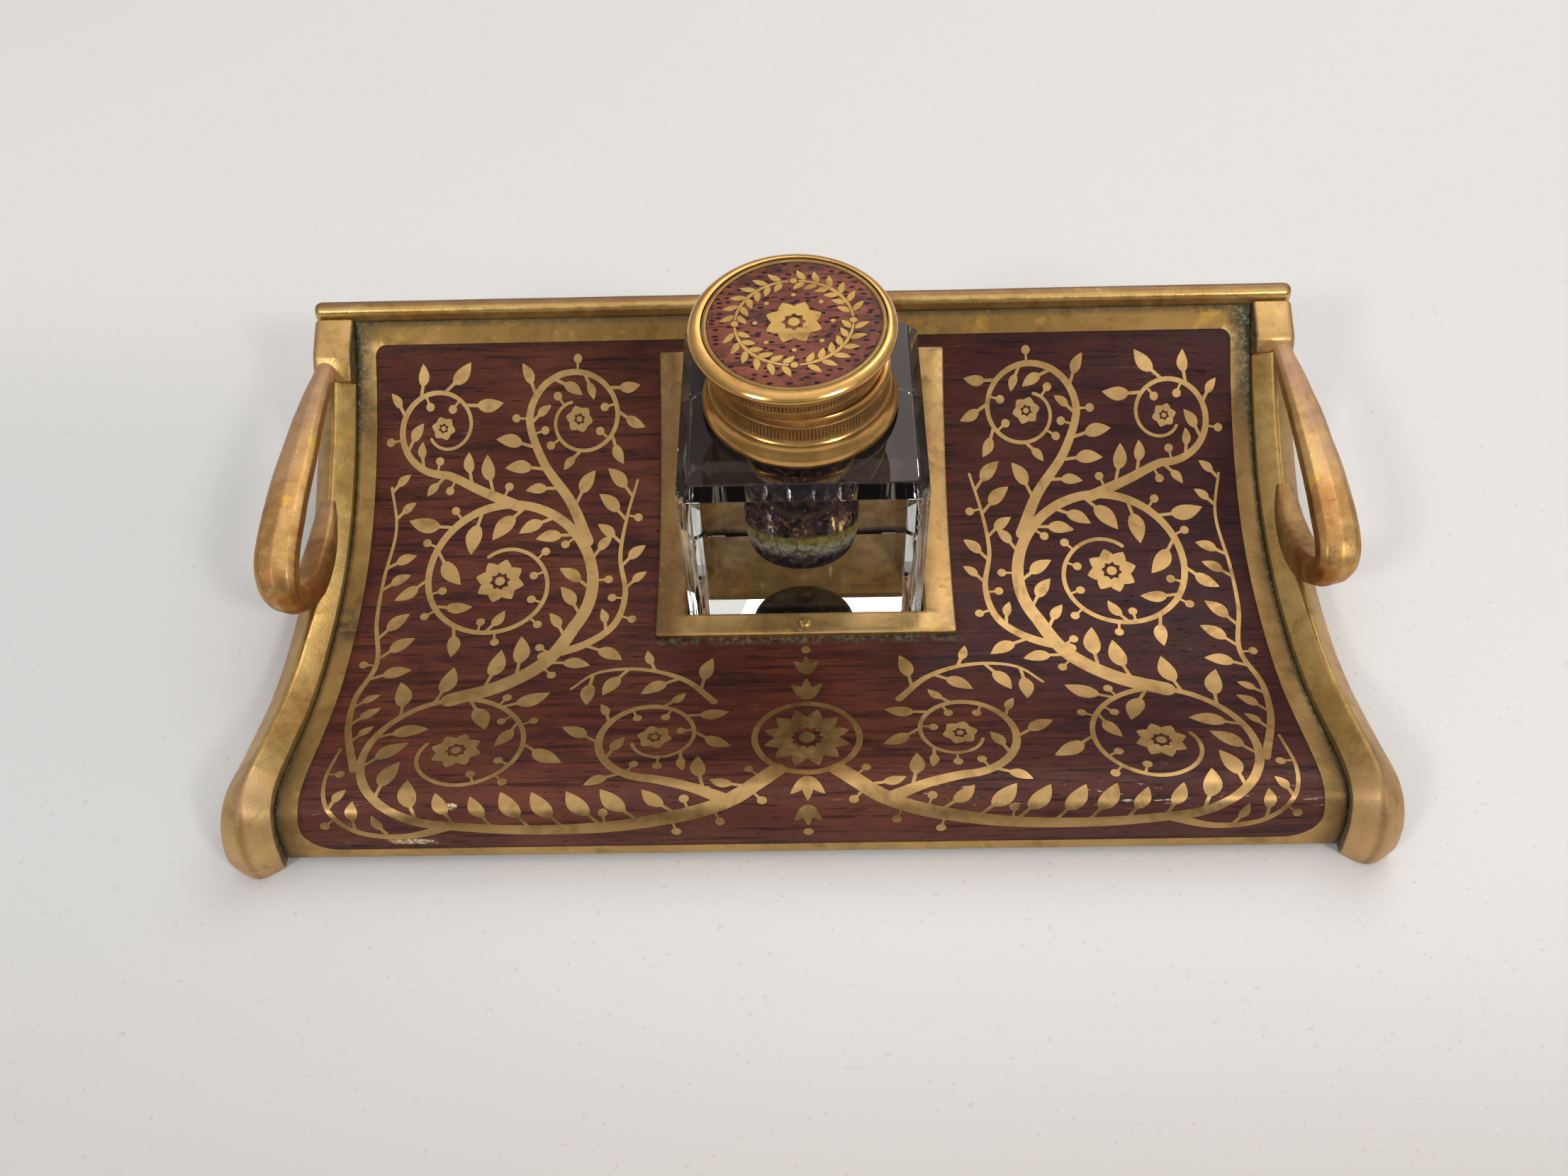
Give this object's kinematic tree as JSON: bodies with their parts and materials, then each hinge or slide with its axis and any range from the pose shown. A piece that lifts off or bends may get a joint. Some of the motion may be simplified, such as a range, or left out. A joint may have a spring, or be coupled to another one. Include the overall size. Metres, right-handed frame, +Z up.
{
  "type": "inkstand",
  "caption": "Wave-shaped wooden desk inkstand with brass inlay, cast side rails with loop handles and a square glass ink well with a hinged lid.",
  "frame": {"origin": "bottom centre of the bounding box, on the desk", "axes": "+X to the right along the longest side, +Y to the raised back edge, +Z up"},
  "size_m": [0.2848, 0.1628, 0.0848],
  "materials": {
    "core_wood": "matt",
    "dark_rosewood": "polished, dark streaks",
    "red_rosewood": "polished, dark pores",
    "inlaid_brass": "satin, aged",
    "cast_brass": "satin, aged, green in the seams",
    "worn_cast_brass": "satin, rubbed",
    "plain_brass": "dull",
    "sheet_brass": "satin",
    "screw_brass": "worn",
    "bright_brass": "polished",
    "clear_glass": "polished",
    "cement": "matt",
    "steel": "dull"
  },
  "bodies": {
    "stand": {"board_core": "core_wood", "veneer_panel": "dark_rosewood", "brass_border": "inlaid_brass", "left_rail": "cast_brass", "right_rail": "cast_brass", "left_handle": "worn_cast_brass", "right_handle": "worn_cast_brass", "left_rear_post": "cast_brass", "right_rear_post": "cast_brass", "left_support_strip": "plain_brass", "right_support_strip": "plain_brass", "left_strip_screw_1": "steel", "left_strip_screw_2": "steel", "left_strip_screw_3": "steel", "right_strip_screw_1": "steel", "right_strip_screw_2": "steel", "right_strip_screw_3": "steel", "back_rail": "cast_brass", "back_rail_screw_1": "screw_brass", "back_rail_screw_2": "screw_brass", "back_rail_screw_3": "screw_brass", "back_rail_screw_4": "screw_brass", "well_frame": "sheet_brass", "frame_screw_front": "screw_brass", "frame_screw_back": "screw_brass", "well_box": "plain_brass"},
    "bottle": {"glass_well": "clear_glass", "collar_cement": "cement", "collar": "bright_brass", "collar_hinge_leaf": "bright_brass", "hinge_pin": "steel"},
    "lid": {"lid_shell": "bright_brass", "lid_disc": "red_rosewood", "lid_disc_ring": "plain_brass", "lid_liner": "plain_brass", "lid_hinge_leaf": "bright_brass"}
  },
  "joints": [
    {"name": "bottle_lift", "type": "slide", "parent": "stand", "child": "bottle", "axis": [0, 0, 1], "range_m": [0, 0.07]},
    {"name": "lid_hinge", "type": "hinge", "parent": "bottle", "child": "lid", "pos_m": [-0.0003, 0.05259, 0.0719], "axis": [-1, 0, 0], "range_deg": [0, 105]}
  ]
}
